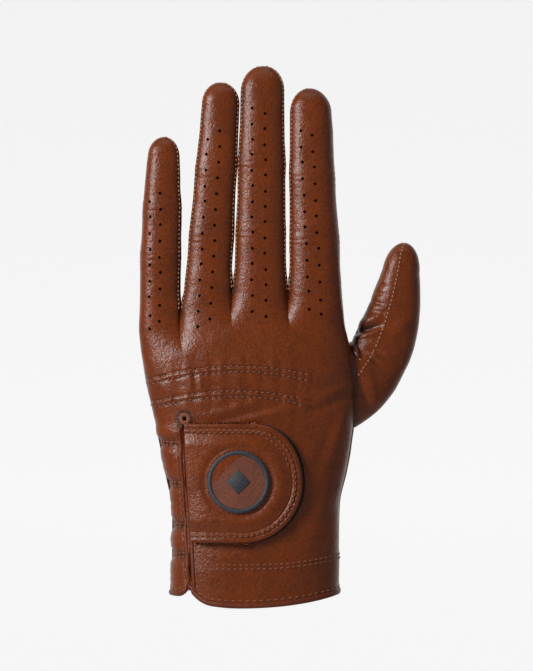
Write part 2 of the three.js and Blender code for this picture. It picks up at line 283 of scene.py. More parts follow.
def finger_point(finger, side, angle, along, offset=0.0):
    """A point on a finger. along is the share of the barrel up to 1, and 1 to 2 goes over the tip's dome."""
    dome = math.radians(clamp(along - 1) * 90)
    barrel = min(along, 1.0)
    height = finger.height(barrel)
    wide = finger.half(height) + offset
    deep = finger.half(height) * FINGER_FLATNESS + offset
    reach, depth = oval(angle)
    meet = finger.seam_half(height, reach)
    if meet is not None:
        wide = finger.half(height) * SEAM_WIDEN + offset
        web = finger.web(angle)
        join = 1 - smooth(height, web, web + WEB_FLARE)
        wide = mix(wide, meet / SEAM_REACH, join)
        nearness = clamp(abs(reach) / SEAM_REACH) ** 4 * join
        deep = mix(deep, WEB_DEPTH / SEAM_DEPTH, nearness)
    return Vector((
        finger.centre(height) + wide * math.cos(dome) * reach,
        FINGER_CURL * max(barrel, 0) ** 2 - side * deep * math.cos(dome) * depth,
        height + (finger.dome + offset) * math.sin(dome),
    ))


# ---- making meshes ----


def mapped_grid(columns, rows, place):
    """A grid whose vertices are placed by place(column, row). From outside, columns run to +X and rows up."""
    bm = bmesh.new()
    bmesh.ops.create_grid(bm, x_segments=len(columns) - 1, y_segments=len(rows) - 1, size=0.5)
    for vert in bm.verts:
        column = columns[round((vert.co.x + 0.5) * (len(columns) - 1))]
        row = rows[round((vert.co.y + 0.5) * (len(rows) - 1))]
        vert.co = place(column, row) * MM
    bmesh.ops.remove_doubles(bm, verts=bm.verts, dist=0.002 * MM)
    return bm


def displace(bm, amount):
    """Moves each vertex along its normal by amount(point in millimetres), in millimetres."""
    bm.normal_update()
    moves = [(vert, vert.normal * (amount(vert.co / MM) * MM)) for vert in bm.verts]
    for vert, move in moves:
        vert.co += move
    bm.normal_update()


def punch(bm, centres, radius):
    """Cuts round holes: drops the faces under each one and draws the edge left round it onto a circle."""
    if not centres:
        return
    bm.normal_update()
    bm.faces.ensure_lookup_table()
    tree = kdtree.KDTree(len(bm.faces))
    for face in bm.faces:
        tree.insert(face.calc_center_median(), face.index)
    tree.balance()
    doomed = set()
    holes = []
    for centre in centres:
        middle, index, _ = tree.find(centre * MM)
        holes.append((middle, bm.faces[index].normal.copy()))
        doomed.update(found[1] for found in tree.find_range(middle, radius * 1.15 * MM))
    cut = {vert for i in doomed for vert in bm.faces[i].verts if not vert.is_boundary}
    bmesh.ops.delete(bm, geom=[bm.faces[i] for i in doomed], context="FACES")
    rim = [vert for vert in cut if vert.is_valid]
    for middle, normal in holes:
        for vert in rim:
            arm = vert.co - middle
            if arm.length < radius * 2.5 * MM:
                arm -= normal * arm.dot(normal)
                vert.co = middle + arm.normalized() * radius * MM
    bm.normal_update()


def thicken(bm, thickness):
    """Gives an open sheet its wall: an inner face along each vertex's normal, and a rim between the two."""
    bm.normal_update()
    rim = [edge.link_loops[0] for edge in bm.edges if edge.is_boundary]
    rim = [(loop.vert, loop.link_loop_next.vert) for loop in rim]
    moves = {vert: vert.co - vert.normal * thickness * MM for vert in bm.verts}
    copy = bmesh.ops.duplicate(bm, geom=bm.verts[:] + bm.edges[:] + bm.faces[:])
    inner = {vert: copy["vert_map"][vert] for vert in moves}
    for vert, place in moves.items():
        inner[vert].co = place
    turned = [part for part in copy["geom"] if isinstance(part, bmesh.types.BMFace)]
    bmesh.ops.reverse_faces(bm, faces=turned)
    for a, b in rim:
        bm.faces.new((b, a, inner[a], inner[b]))


def finish_piece(name, bm, finish, slot, body=None, blend=None, replaces=(), paint=None):
    """Makes the object and gives it its finish. With a body it is parented to that body's empty; with a blend
    its transform is only baked in. The frame parts that it replaces are hidden.
    """
    mesh = bpy.data.meshes.new(name)
    bm.to_mesh(mesh)
    bm.free()
    mesh.shade_smooth()
    mesh.set_sharp_from_angle(angle=math.radians(SHARP_ANGLE))
    # Each vertex gets the painted shade that paint works out for it, which darkens the leather.
    if paint:
        tone = mesh.attributes.new("tone", "FLOAT", "POINT")
        tone.data.foreach_set("value", [clamp(paint(vert.co / MM)) for vert in mesh.vertices])
    mesh.materials.append(FINISHES[finish])
    piece = bpy.data.objects.new(name, mesh)
    bpy.context.scene.collection.objects.link(piece)
    if blend:
        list(blend[:2])
        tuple(blend[2])
        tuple(blend[3])
        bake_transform(piece)
    else:
        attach(piece, body)
    if replaces:
        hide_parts(*replaces)
    return piece


def along_path(points, pitch):
    """Places at an even pitch along a line of points, each with the direction there."""
    places = []
    carry = pitch / 2
    for a, b in zip(points, points[1:]):
        step = b - a
        while carry < step.length:
            places.append((a + step.normalized() * carry, step.normalized()))
            carry += pitch
        carry -= step.length
    return places


def stitches(name, tree, paths, pitch, length, width, finish, **riding):
    """Rows of thread, one capsule for each stitch, laid on the leather that the tree holds."""
    bm = bmesh.new()
    for points in paths:
        for place, direction in along_path(points, pitch):
            at, normal, _, _ = tree.find_nearest(place * MM)
            side = normal.cross(direction).normalized()
            run = side.cross(normal).normalized()
            turn = Matrix((run, side, normal)).transposed().to_4x4()
            size = Matrix.Diagonal((length / 2 * MM, width / 2 * MM, width * 0.42 * MM, 1))
            bmesh.ops.create_uvsphere(bm, u_segments=8, v_segments=6, radius=1,
                                      matrix=Matrix.Translation(at + normal * 0.06 * MM) @ turn @ size)
    return finish_piece(name, bm, finish, "leather_side", **riding)


def rays(centre, count, inside, outside):
    """Short lines round a centre, from one radius to another."""
    arms = [Vector((math.cos(turn), 0, math.sin(turn))) for turn in spread(0, math.tau, count)[:-1]]
    return [[centre + arm * inside, centre + arm * outside] for arm in arms]


def thread_rows(name, tree, paths, sizes, pitch, finish, **riding):
    """Rows of stitches of the glove's own thread, each a set share of the pitch long."""
    return stitches(name, tree, paths, pitch, pitch * STITCH_SHARE, sizes.thread, finish, **riding)


def strap(tree, points, width, thickness, lift=0.0, closed=False, sides=12):
    """A flat band with a rounded section, laid along points on the leather that the tree holds."""
    count = len(points)
    stations = []
    for i, point in enumerate(points):
        ahead = points[(i + 1) % count] if closed else points[min(i + 1, count - 1)]
        behind = points[i - 1] if closed or i else points[0]
        at, normal, _, _ = tree.find_nearest(point * MM)
        run = (ahead - behind).normalized()
        side = normal.cross(run).normalized()
        up = run.cross(side).normalized()
        stations.append((at / MM + up * lift, side, up))

    def place(turn, row):
        i = row % count
        at, side, up = stations[i]
        end = 0 if closed else max(0, 1 - min(row, count - 1 - row) / 2)
        size = math.sqrt(max(1 - end ** 2, 0))
        rise, across = oval(turn)
        return at + (side * across * width / 2 + up * rise * thickness / 2) * size

    rows = list(range(count + 1 if closed else count))
    bm = mapped_grid(spread(0, 360, sides), rows, place)
    bmesh.ops.recalc_face_normals(bm, faces=bm.faces)
    return bm


def resample(points, step):
    """The same line with its points an even step apart."""
    places = [place for place, _ in along_path(points, step)]
    return [points[0], *places, points[-1]]


# ---- materials ----


def wire(tree, made, inputs):
    """Gives a node's inputs their values, or links them to another node's output."""
    for name, value in inputs.items():
        if isinstance(value, bpy.types.NodeSocket):
            tree.links.new(value, made.inputs[name])
        else:
            made.inputs[name].default_value = value


def node(tree, kind, inputs, **settings):
    made = tree.nodes.new(kind)
    for name, value in settings.items():
        setattr(made, name, value)
    wire(tree, made, inputs)
    return made


def remap(tree, value, low, high, to_low, to_high):
    made = node(tree, "ShaderNodeMapRange", {
        "Value": value, "From Min": low, "From Max": high, "To Min": to_low, "To Max": to_high})
    return made.outputs["Result"]


def new_material(name):
    """A material, its nodes, its shader and the place on the glove that its patterns read."""
    material = bpy.data.materials.new(name)
    material.use_nodes = True
    tree = material.node_tree
    place = node(tree, "ShaderNodeTexCoord", {}).outputs["Object"]
    return material, tree, tree.nodes["Principled BSDF"], place


def linear(colour):
    return [*(c / 12.92 if c <= 0.04045 else ((c + 0.055) / 1.055) ** 2.4 for c in colour), 1.0]


def leather_material(name, colour, shade, rough, grain, sheen):
    """Grained leather: pebbles and pores in the bump, mottled colour, and painted shade in the grain's
    crevices, the hollows and the seams.
    """
    material, tree, shader, place = new_material(name)
    pebble = node(tree, "ShaderNodeTexVoronoi", {
        "Vector": place, "Scale": 1150}, feature="F1").outputs["Distance"]
    crease = node(tree, "ShaderNodeTexNoise", {
        "Vector": place, "Scale": 420, "Detail": 5, "Roughness": 0.6}).outputs["Fac"]
    mottle = node(tree, "ShaderNodeTexNoise", {
        "Vector": place, "Scale": 75, "Detail": 4, "Roughness": 0.6}).outputs["Fac"]
    tone = node(tree, "ShaderNodeAttribute", {}, attribute_name="tone").outputs["Fac"]

    # Random mottle, plus painted shade: the grain's crevices and the hollows and seams that each piece paints
    # darken the colour towards the shade.
    grey = remap(tree, mottle, 0.3, 0.7, 0.0, 0.28)
    crevice_shade = remap(tree, pebble, 0.35, 0.75, 0.0, 0.3)
    mottle_and_crevice_shade = node(tree, "ShaderNodeMath", {0: grey, 1: crevice_shade}, operation="ADD").outputs[0]
    dark = node(tree, "ShaderNodeMath", {0: mottle_and_crevice_shade, 1: tone}, operation="ADD", use_clamp=True).outputs[0]
    blend = node(tree, "ShaderNodeMix", {"Factor": dark, "A": linear(colour), "B": linear(shade)},
                 data_type="RGBA")
    folds = node(tree, "ShaderNodeBump", {"Height": crease, "Strength": 0.5 * grain, "Distance": 0.0005})
    pebbles = node(tree, "ShaderNodeBump", {
        "Height": pebble, "Strength": 0.45 * grain, "Distance": 0.00018, "Normal": folds.outputs["Normal"],
    }, invert=True)
    wire(tree, shader, {
        "Base Color": blend.outputs["Result"],
        "Roughness": remap(tree, crease, 0.3, 0.7, rough - 0.06, rough + 0.07),
        "Normal": pebbles.outputs["Normal"],
        "Sheen Weight": sheen,
        "Sheen Roughness": 0.45,
        "Specular IOR Level": 0.38,
    })
    return material


def woven_material(name, colour, rough, scale):
    """Cloth, thread or tape: fine ribs in the bump and a slightly uneven colour."""
    material, tree, shader, place = new_material(name)
    fuzz = node(tree, "ShaderNodeTexNoise", {
        "Vector": place, "Scale": scale, "Detail": 4, "Roughness": 0.7}).outputs["Fac"]
    shades = node(tree, "ShaderNodeMix", {
        "Factor": fuzz,
        "A": linear([c * 0.72 for c in colour]),
        "B": linear([min(c * 1.25, 1) for c in colour]),
    }, data_type="RGBA")
    bumps = node(tree, "ShaderNodeBump", {"Height": fuzz, "Strength": 0.6, "Distance": 0.0003})
    wire(tree, shader, {
        "Base Color": shades.outputs["Result"],
        "Normal": bumps.outputs["Normal"],
        "Roughness": rough,
        "Sheen Weight": 0.2,
    })
    return material


# Each finish's material name and colour setting, then its roughness, grain and sheen
LEATHERS = {
    "leather": ("cognac_leather", "leather", 0.33, 1.0, 0.02),
    # The side walls' leather is darker than the back's: painted shade for the gaps between the fingers.
    "side": ("side_wall_leather", "side", 0.5, 1.0, 0.1),
    "binding": ("binding_leather", "binding", 0.42, 0.7, 0.04),
    "edge": ("cut_edge", "cut_edge", 0.75, 0.8, 0.1),
    "badge_face": ("badge_leather", "badge_face", 0.7, 0.7, 0.1),
}
# Each finish's material name and colour setting, then its roughness and the scale of its weave
CLOTHS = {
    "seam_thread": ("seam_thread", "seam_thread", 0.7, 2600),
    "row_thread": ("row_thread", "row_thread", 0.7, 2600),
    "badge_thread": ("badge_thread", "badge_thread", 0.7, 2600),
    "slate": ("slate_badge", "slate", 0.5, 1800),
    "hooks": ("hook_and_loop", "tape", 0.95, 1500),
    "elastic": ("elastic_tape", "tape", 0.85, 900),
}
FINISHES = {}


def make_finishes(colours):
    for finish, (name, colour, rough, grain, sheen) in LEATHERS.items():
        shade = colours.leather if finish == "edge" else colours.shade
        FINISHES[finish] = leather_material(name, getattr(colours, colour), shade, rough, grain, sheen)
    for finish, (name, colour, rough, scale) in CLOTHS.items():
        FINISHES[finish] = woven_material(name, getattr(colours, colour), rough, scale)


# ---- back and palm ----

# Folds in the back's leather: the two ends, the width and the height of each soft ridge or hollow
FOLDS = (
    ((-20, 78.5), (3, 85), 1.6, 0.55),
    ((-16, 76.0), (8, 82), 1.3, -0.35),
    ((-12, 75.0), (20, 82.5), 1.7, 0.6),
    ((20, 82.5), (40, 92), 2.0, 0.55),
    ((22, 79.0), (40, 87), 1.8, -0.4),
    ((39, 90), (29, 56), 3.2, 0.7),
    ((36, 84), (25, 58), 2.4, -0.45),
    ((1, 91), (20, 85), 1.2, 0.45),
    ((6, 95), (22, 88), 1.2, -0.35),
    ((-27, 96), (-26, 87), 1.1, 0.4),
    ((-23.5, 96), (-22, 87), 1.1, 0.4),
    ((-40, 93), (-36, 86), 1.3, 0.35),
    ((30, 52), (24, 30), 2.5, 0.35),
    ((18, 26), (33, 20), 2.2, 0.3),
    ((-18, 20), (6, 23), 2.2, 0.25),
)


def fold(x, z, ends_width_height):
    (ax, az), (bx, bz), width, height = ends_width_height
    dx, dz = bx - ax, bz - az
    size = dx * dx + dz * dz
    t = ((x - ax) * dx + (z - az) * dz) / size
    near = clamp(t)
    away = math.hypot(x - ax - dx * near, z - az - dz * near)
    return height * bell(away, width) * (0.35 + 0.65 * math.sin(math.pi * clamp(t, 0.08, 0.92)))


def upper_band(x):
    return 97.6 - 0.0042 * (x + 8) ** 2


def lower_band(x):
    return 87.4 - 0.0041 * (x + 9) ** 2


def band_relief(x, away, reach):
    """A gathered tape: a ridge between two rows of stitches, with puckers that run out of it."""
    fade = 1 - smooth(x, reach - 3, reach + 1)
    ridge = 0.38 * bell(away, 0.7) - 0.3 * bell(abs(away) - 1.15, 0.4)
    ripple = math.sin(x * 1.75 + 1.3 * math.sin(x * 0.37) + 0.25 * away)
    pucker = 0.1 * ripple * bell(away, 2.6) + 0.12 * math.sin(x * 0.9 + 2) * bell(away, 6)
    return fade * (ridge + pucker)


def back_relief(point):
    x, y, z = point
    if y > 4:
        return soft_noise(point)
    relief = soft_noise(point)
    if 60 < z < 112:
        relief += band_relief(x, z - upper_band(x), 23)
        relief += band_relief(x, z - lower_band(x), 19.5)
    relief += sum(fold(x, z, ends) for ends in FOLDS)
    return relief + strip_relief(x, z)


def strip_relief(x, z):
    """The narrow strip beside the slit, which its elastics gather between double rows of stitches."""
    inside = smooth(slit_x(min(z, SLIT_TOP)) - x, 0.5, 2.5) * (1 - smooth(z, 70, 76))
    swell = 0.8 - sum(1.5 * bell(z - height, 2.6) for height in STRIP_ROWS)
    swell += sum(0.45 * bell(z - height, 0.5) for height in STRIP_ROWS)
    return inside * (swell + 0.06 * math.sin(z * 1.9 + 0.8 * math.sin(x)))


def soft_noise(point):
    broad = noise.noise(Vector(point) * 0.045)
    fine = noise.noise(Vector(point) * 0.16)
    return 0.55 * broad + 0.14 * fine


def palm_relief(point):
    x, y, z = point
    thenar = 2.2 * bell(x - 22, 15) * bell(z - 75, 26)
    heel = 1.6 * bell(x + 24, 13) * bell(z - 62, 28)
    lines = -0.6 * bell(z - 103 + 0.12 * x, 1.6) * bell(x + 10, 32)
    lines -= 0.5 * bell(z - 88 - 0.45 * x, 1.6) * bell(x - 2, 22)
    return thenar + heel + lines + soft_noise(point)


def even_angles(low, high, wide, deep, step):
    """Angles from low to high whose points lie about a step apart on a squared oval."""
    fine = spread(low, high, 300)
    points = [Vector((wide * reach, deep * depth)) for reach, depth in map(oval, fine)]
    run = [0.0]
    for a, b in zip(points, points[1:]):
        run.append(run[-1] + (b - a).length)
    count = max(round(run[-1] / step), 2)
    angles = []
    at = 0
    for i in range(count + 1):
        goal = run[-1] * i / count
        while at < len(run) - 2 and run[at + 1] < goal:
            at += 1
        angles.append(mix(fine[at], fine[at + 1], (goal - run[at]) / (run[at + 1] - run[at])))
    return angles


def strip_limits(finger, side):
    """The angles of a finger's two long edges: its seams, or past its side where it is an outer finger."""
    outer = OUTER_ANGLE if side > 0 else 180 - OUTER_ANGLE - 0.3
    low = -outer if finger is FINGERS[0] else -SEAM_ANGLE
    high = outer if finger is FINGERS[-1] else SEAM_ANGLE
    return low, high


def hand_columns(side, step):
    """Lines up the hand, each with its finger, its angle there and its angle on the hand."""
    columns = []
    for finger in FINGERS:
        low, high = strip_limits(finger, side)
        half = finger.root / 2
        for angle in even_angles(low, high, half, half * FINGER_FLATNESS, step):
            x = finger_point(finger, side, angle, finger.barrel(KNUCKLE_HEIGHT - 4)).x
            turned = oval_angle(clamp((2 * x - ROW_LEFT - ROW_RIGHT) / (ROW_RIGHT - ROW_LEFT), -1, 1))
            if abs(angle) > 90:
                turned = math.copysign(180, angle) - turned
            columns.append((finger, angle, turned, 0))
    return columns


def slit_x(height):
    """The slit's middle, which leans towards the thumb as it runs down from the keyhole."""
    return SLIT_X + SLIT_LEAN * clamp((SLIT_LEAN_TOP - height) / SLIT_LEAN_DROP)


def slit_share(height):
    left, right = left_edge(height), right_edge(height)
    return (2 * slit_x(height) - left - right) / (right - left)


def rounded(radius, inset):
    """How much a round corner takes off an edge, at an inset from the corner's far end."""
    return radius - math.sqrt(radius ** 2 - inset ** 2)


def hem_height(side, x, turned):
    """The height of the cuff's lower edge, which is lowest on the back and has round corners at the slit."""
    if side < 0 or abs(turned) > 90:
        return HEM_HEIGHT
    start = slit_x(0)
    if x < start:
        return STRIP_HEM + rounded(STRIP_CORNER, max(STRIP_CORNER - (start - x), 0))
    low = 4.8 * ((x - HEM_LOW_X) / 40) ** 2 if x > HEM_LOW_X else ((x - HEM_LOW_X) / 12) ** 2
    return low + rounded(BACK_CORNER, clamp(BACK_CORNER - (x - start), 0, BACK_CORNER))


def trunk_point(side, column, rise, offset=0.0):
    """A point on the hand's back or palm. rise runs from the hem to the line where the fingers begin."""
    finger, angle, turned, lip = column
    top = finger.web(angle)
    start = hand_point(side, turned, 10)
    height = mix(hem_height(side, start.x, turned), top, rise)
    share = oval(turned)[0]
    if side > 0 and abs(turned) < 90 and share < SLIT_SETTLE:
        rest, now = slit_share(SLIT_TOP), slit_share(min(height, SLIT_TOP))
        if share < rest:
            share = -1 + (share + 1) * (now + 1) / (rest + 1)
        else:
            share = mix(now, SLIT_SETTLE, (share - rest) / (SLIT_SETTLE - rest))
        turned = oval_angle(share)
    on_hand = hand_point(side, turned, height, offset)
    on_hand.x += lip * SLIT_GAP / 2 * smooth(SLIT_TOP - height, -0.5, 3)
    on_finger = finger_point(finger, side, angle, finger.barrel(height), offset)
    return on_hand.lerp(on_finger, smooth(height, top - RIDGE_RISE, top))


def hole_places(finger):
    """The finger's punched holes: the x and height of each, in two staggered rows."""
    count, right_top, left_top, pitch, right, left = finger.holes
    places = []
    for top, shift in ((right_top, right), (left_top, left)):
        for i in range(count):
            height = top - i * pitch
            drift = 1.4 * (1 - clamp(finger.barrel(height)))
            places.append((finger.centre(height) + shift + drift, height))
    return places


def hole_angle(finger, x, height):
    return oval_angle(clamp((x - finger.centre(height)) / finger.half(height), -0.9, 0.9))


def trunk_holes():
    centres = []
    for finger in FINGERS:
        for x, height in hole_places(finger):
            angle = hole_angle(finger, x, height)
            web = finger.web(angle)
            if height < web:
                low = min(height, web - HOLE_MARGIN)
                at = finger_point(finger, 1, angle, finger.barrel(low))
                hand = back_point(at.x, low)
                centres.append(hand.lerp(at, smooth(low, web - RIDGE_RISE, web)))
    return centres


def finger_holes(finger):
    centres = []
    for x, height in hole_places(finger):
        angle = hole_angle(finger, x, height)
        web = finger.web(angle)
        if height >= web:
            centres.append(finger_point(finger, 1, angle, finger.barrel(max(height, web + HOLE_MARGIN))))
    return centres


def trunk_shade_paint(point):
    """Painted shade: darker leather in the hollows of the gathers and of the strip's rows, round the
    keyhole's tack and by the webs.
    """
    x, y, z = point
    tone = 0.0
    if y < 4:
        for band in (upper_band(x), lower_band(x)):
            tone += 0.35 * bell(abs(z - band) - 1.2, 0.5) * (x < 23)
        if x < slit_x(min(z, SLIT_TOP)):
            tone += 0.6 * sum(bell(z - height, 1.6) for height in STRIP_ROWS)
        tone += 0.8 * bell(math.hypot(x - KEYHOLE[0], z - KEYHOLE[1]) - TACK_RADIUS, 1.0)
    for finger in FINGERS[1:]:
        tone += 0.7 * bell(math.hypot(x - finger.valleys[0](z), (z - finger.webs[0]) * 0.4), 1.6)
    return tone


TREES = {}  # the leathers that stitches and straps are laid on
SHEETS = {}  # the back's leather, kept until the palm is made


def joined_tree(*meshes):
    """One tree of the faces of several meshes."""
    verts, faces = [], []
    for bm in meshes:
        bm.verts.index_update()
        start = len(verts)
        verts += [vert.co.copy() for vert in bm.verts]
        faces += [[start + vert.index for vert in face.verts] for face in bm.faces]
    return BVHTree.FromPolygons(verts, faces)


def open_thumb(bm):
    """Drops the palm's faces inside the thumb's root, so that the thumb is open to the hand."""
    inside = []
    for face in bm.faces:
        x, y, z = face.calc_center_median() / MM
        across = abs(z - 90) / 15
        deep = abs(y - 6) / 9
        if x > 36 and across ** ROUNDNESS + deep ** ROUNDNESS < 1:
            inside.append(face)
    bmesh.ops.delete(bm, geom=inside, context="FACES")


class GLOVE_OT_back(bpy.types.Operator):
    """Make the back's leather, gathered in two bands, with its slit and punched holes"""

    bl_idname = "glove.back"
    bl_label = "Back"

    def execute(self, context):
        sizes = context.scene.glove_sizes
        columns = hand_columns(1, sizes.mesh_step)
        rest = slit_share(SLIT_TOP)
        on_back = [i for i, column in enumerate(columns) if abs(column[1]) < 90]
        nearest = min(on_back, key=lambda i: abs(oval(columns[i][2])[0] - rest))
        finger, angle, _, _ = columns[nearest]
        turned = oval_angle(rest)
        columns[nearest:nearest + 1] = [(finger, angle, turned, -1), (finger, angle, turned, 1)]
        rows = spread(0, 1, round(KNUCKLE_HEIGHT / sizes.mesh_step))
        bm = mapped_grid(columns, rows, lambda column, row: trunk_point(1, column, row))
        slit = []
        for face in bm.faces:
            x, y, z = face.calc_center_median() / MM
            if z < SLIT_TOP + 1 and y < 0 and abs(x - slit_x(min(z, SLIT_TOP))) < SLIT_GAP * 0.35:
                slit.append(face)
        bmesh.ops.delete(bm, geom=slit, context="FACES")
        displace(bm, back_relief)
        punch(bm, trunk_holes(), sizes.hole_diameter / 2)
        punch(bm, [back_point(*KEYHOLE)], KEYHOLE_RADIUS)
        TREES["back"] = BVHTree.FromBMesh(bm)
        SHEETS["back"] = bm.copy()
        thicken(bm, sizes.leather)
        finish_piece("back_leather", bm, "leather", "leather", body="hand",
                     replaces=["back_panel"], paint=trunk_shade_paint)
        return {"FINISHED"}


class GLOVE_OT_palm(bpy.types.Operator):
    """Make the palm's leather, with the swell of the thumb's root"""

    bl_idname = "glove.palm"
    bl_label = "Palm"

    def execute(self, context):
        sizes = context.scene.glove_sizes
        columns = hand_columns(-1, sizes.mesh_step * 1.3)
        rows = spread(0, 1, round(KNUCKLE_HEIGHT / sizes.mesh_step / 1.3))
        bm = mapped_grid(columns, rows, lambda column, row: trunk_point(-1, column, row))
        bmesh.ops.reverse_faces(bm, faces=bm.faces)
        displace(bm, palm_relief)
        back = SHEETS.pop("back")
        TREES["trunk"] = joined_tree(back, bm)
        back.free()
        open_thumb(bm)
        thicken(bm, sizes.leather)
        finish_piece("palm_leather", bm, "leather", "leather", body="hand",
                     replaces=["palm_panel", "thumb_gusset"], paint=trunk_shade_paint)
        return {"FINISHED"}


# ---- fingers ----


def finger_blend(finger):
    """The hand, the finger and the heights of a band from the webs up."""
    low = max(finger.webs) + 0.3
    return "hand", finger.name, (0, 0, low * MM), (0, 0, (low + BEND_LENGTH) * MM)


def finger_relief(finger):
    """Faint creases across the finger's joints over the soft noise of its leather."""

    def amount(point):
        x, y, z = point
        share = finger.barrel(z)
        calm = smooth(z, max(finger.webs) + 4, max(finger.webs) + 14)
        creases = 0.0
        for joint in (0.36, 0.68):
            for step in (-0.03, 0.0, 0.035):
                wave = 0.35 * math.sin(x * 0.6 + joint * 20 + step * 90)
                creases -= 0.13 * bell(z - finger.height(joint + step) - wave, 0.5)
        swell = 0.35 * (bell(share - 0.36, 0.07) + bell(share - 0.68, 0.06))
        return soft_noise(point) + calm * (creases + swell)

    return amount


def seam_shade_paint(finger):
    """Painted shade: darker towards the long seams."""

    def tone(point):
        x, y, z = point
        reach = (x - finger.centre(min(z, finger.top))) / finger.half(min(z, finger.top))
        valley = finger.valleys[0 if reach < 0 else 1]
        return 0.45 * smooth(abs(reach), 0.74, 0.95) if valley else 0.0

    return tone


def strip_place(finger, side, offset=0.0):
    def place(angle, row):
        if row >= 1:
            return finger_point(finger, side, angle, row, offset)
        height = mix(finger.web(angle), finger.top, row)
        return finger_point(finger, side, angle, finger.barrel(height), offset)

    return place


def finger_rows(finger, step):
    barrel = spread(0, 1, round((finger.top - max(finger.webs)) / step))
    dome = spread(1, 2, round(finger.dome * 1.4 / step))
    return barrel + dome[1:]


def make_strip(finger, side, sizes):
    half = finger.root / 2
    low, high = strip_limits(finger, side)
    step = sizes.mesh_step if side > 0 else sizes.mesh_step * 1.3
    columns = even_angles(low, high, half, half * FINGER_FLATNESS, step)
    bm = mapped_grid(columns, finger_rows(finger, step), strip_place(finger, side))
    if side < 0:
        bmesh.ops.reverse_faces(bm, faces=bm.faces)
    displace(bm, finger_relief(finger))
    if side > 0:
        punch(bm, finger_holes(finger), sizes.hole_diameter / 2)
    name = f"{finger.name}_{'back' if side > 0 else 'palm'}"
    TREES[name] = BVHTree.FromBMesh(bm)
    thicken(bm, sizes.leather)
    finish_piece(f"{name}_leather", bm, "leather", "leather", blend=finger_blend(finger),
                 replaces=[name], paint=seam_shade_paint(finger))


def make_fourchette(finger, way, sizes):
    """A side wall, tucked under the edges of the back and palm strips."""
    angles = spread(SEAM_ANGLE - 7, 187 - SEAM_ANGLE, 20)
    if way < 0:
        angles = [-a for a in reversed(angles)]
    valley = finger.valleys[0 if way < 0 else 1]
    web = finger.webs[0 if way < 0 else 1]

    def place(angle, row):
        if row < 1:
            row = finger.barrel(mix(web - 1.5, finger.top, row))
        point = finger_point(finger, 1, angle, row, -sizes.leather)
        middle = finger.centre(min(point.z, finger.top))
        point.x = middle + (point.x - middle) * 0.97
        limit = valley(min(point.z, finger.top)) - way * 0.12
        point.x = min(point.x, limit) if way > 0 else max(point.x, limit)
        return point

    bm = mapped_grid(angles, finger_rows(finger, sizes.mesh_step * 2), place)
    thicken(bm, sizes.leather)
    side = "left" if way < 0 else "right"
    finish_piece(f"{finger.name}_side_{side}", bm, "side", "leather_side",
                 blend=finger_blend(finger), replaces=[f"{finger.name}_fourchette_{side}"])


def seam_line(finger, side, way, inset):
    """A line beside one of the finger's seams, from its web to its tip."""
    place = strip_place(finger, side)
    points = []
    for row in spread(0.0, 1.88, 90):
        dome = math.cos((row - 1) * 1.57) if row >= 1 else 1
        half = finger.half(min(finger.height(min(row, 1)), finger.top)) * dome
        angle = SEAM_ANGLE - math.degrees(inset / max(half, 2.5)) * 1.25
        points.append(place(way * angle, row))
    return points


class GLOVE_OT_fingers(bpy.types.Operator):
    """Make each finger's back and palm strips, its side walls and its stitched seams"""

    bl_idname = "glove.fingers"
    bl_label = "Fingers"

    def execute(self, context):
        sizes = context.scene.glove_sizes
        for finger in FINGERS:
            make_strip(finger, 1, sizes)
            make_strip(finger, -1, sizes)
            ways = [way for way, valley in zip((-1, 1), finger.valleys) if valley]
            for way in ways:
                make_fourchette(finger, way, sizes)
            for side, face in ((1, "back"), (-1, "palm")):
                paths = [seam_line(finger, side, way, sizes.seam_inset) for way in ways]
                thread_rows(f"{finger.name}_{face}_seam_stitches", TREES[f"{finger.name}_{face}"], paths,
                            sizes, sizes.seam_pitch, "seam_thread", blend=finger_blend(finger))
        return {"FINISHED"}


# ---- thumb ----

THUMB_SEAM = -14.0  # from the middle of the thumb's back to its long seam
THUMB_PALM_SEAM = 150.0
THUMB_SEAM_INSET = 5.0  # degrees from a long seam to its stitches
THUMB_SEAM_END = 1.85  # the stitches stop this far over the tip's dome
THUMB_LOW = 73.0
THUMB_HIGH = 107.0
THUMB_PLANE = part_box("thumb_outer")[0].x / MM
THUMB_ROOT_DEPTH = 21.0
THUMB_WIDTH = 25.0
THUMB_TAPER = 2.2
THUMB_SETTLE = 0.5
THUMB_TIP_WIDTH = 15.0
THUMB_TIP_DEPTH = 15.0
THUMB_REACH = 19.3
THUMB_ROOT_Y = 6.0
THUMB_TIP_Y = 9.0
THUMB_DOME = 12.0
THUMB_TOP = 150.0 - THUMB_DOME
THUMB_MIDDLE = (THUMB_LOW + THUMB_HIGH) / 2
THUMB_BLEND = ("hand", "thumb", (0.038, 0, 0), (0.052, 0, 0))
THUMB_FOLDS = (
    ((42.0, 112.6), (51.0, 115.6), 1.1, -0.9),
    ((41.5, 110.4), (50.0, 112.6), 1.2, 0.5),
    ((42.5, 116.0), (50.5, 119.0), 1.4, 0.5),
    ((47.0, 106.3), (52.0, 104.6), 1.0, -0.5),
    ((46.8, 103.8), (51.8, 101.8), 1.0, 0.5),
    ((47.0, 102.0), (51.0, 99.8), 0.9, -0.4),
    ((41.6, 99.5), (43.2, 90.0), 1.4, -0.5),
    ((43.2, 90.0), (47.4, 80.5), 1.4, -0.45),
    ((45.5, 98.0), (50.0, 84.0), 2.2, 0.5),
    ((50.0, 133.0), (54.0, 131.6), 0.8, -0.3),
    ((49.0, 129.5), (53.5, 128.0), 0.8, -0.3),
    ((48.0, 125.5), (53.0, 124.0), 0.9, -0.35),
    ((47.0, 121.5), (52.5, 120.6), 0.9, -0.35),
    ((57.0, 112.0), (64.0, 118.0), 2.6, 0.4),
    ((56.0, 98.0), (62.0, 104.0), 2.6, -0.3),
)


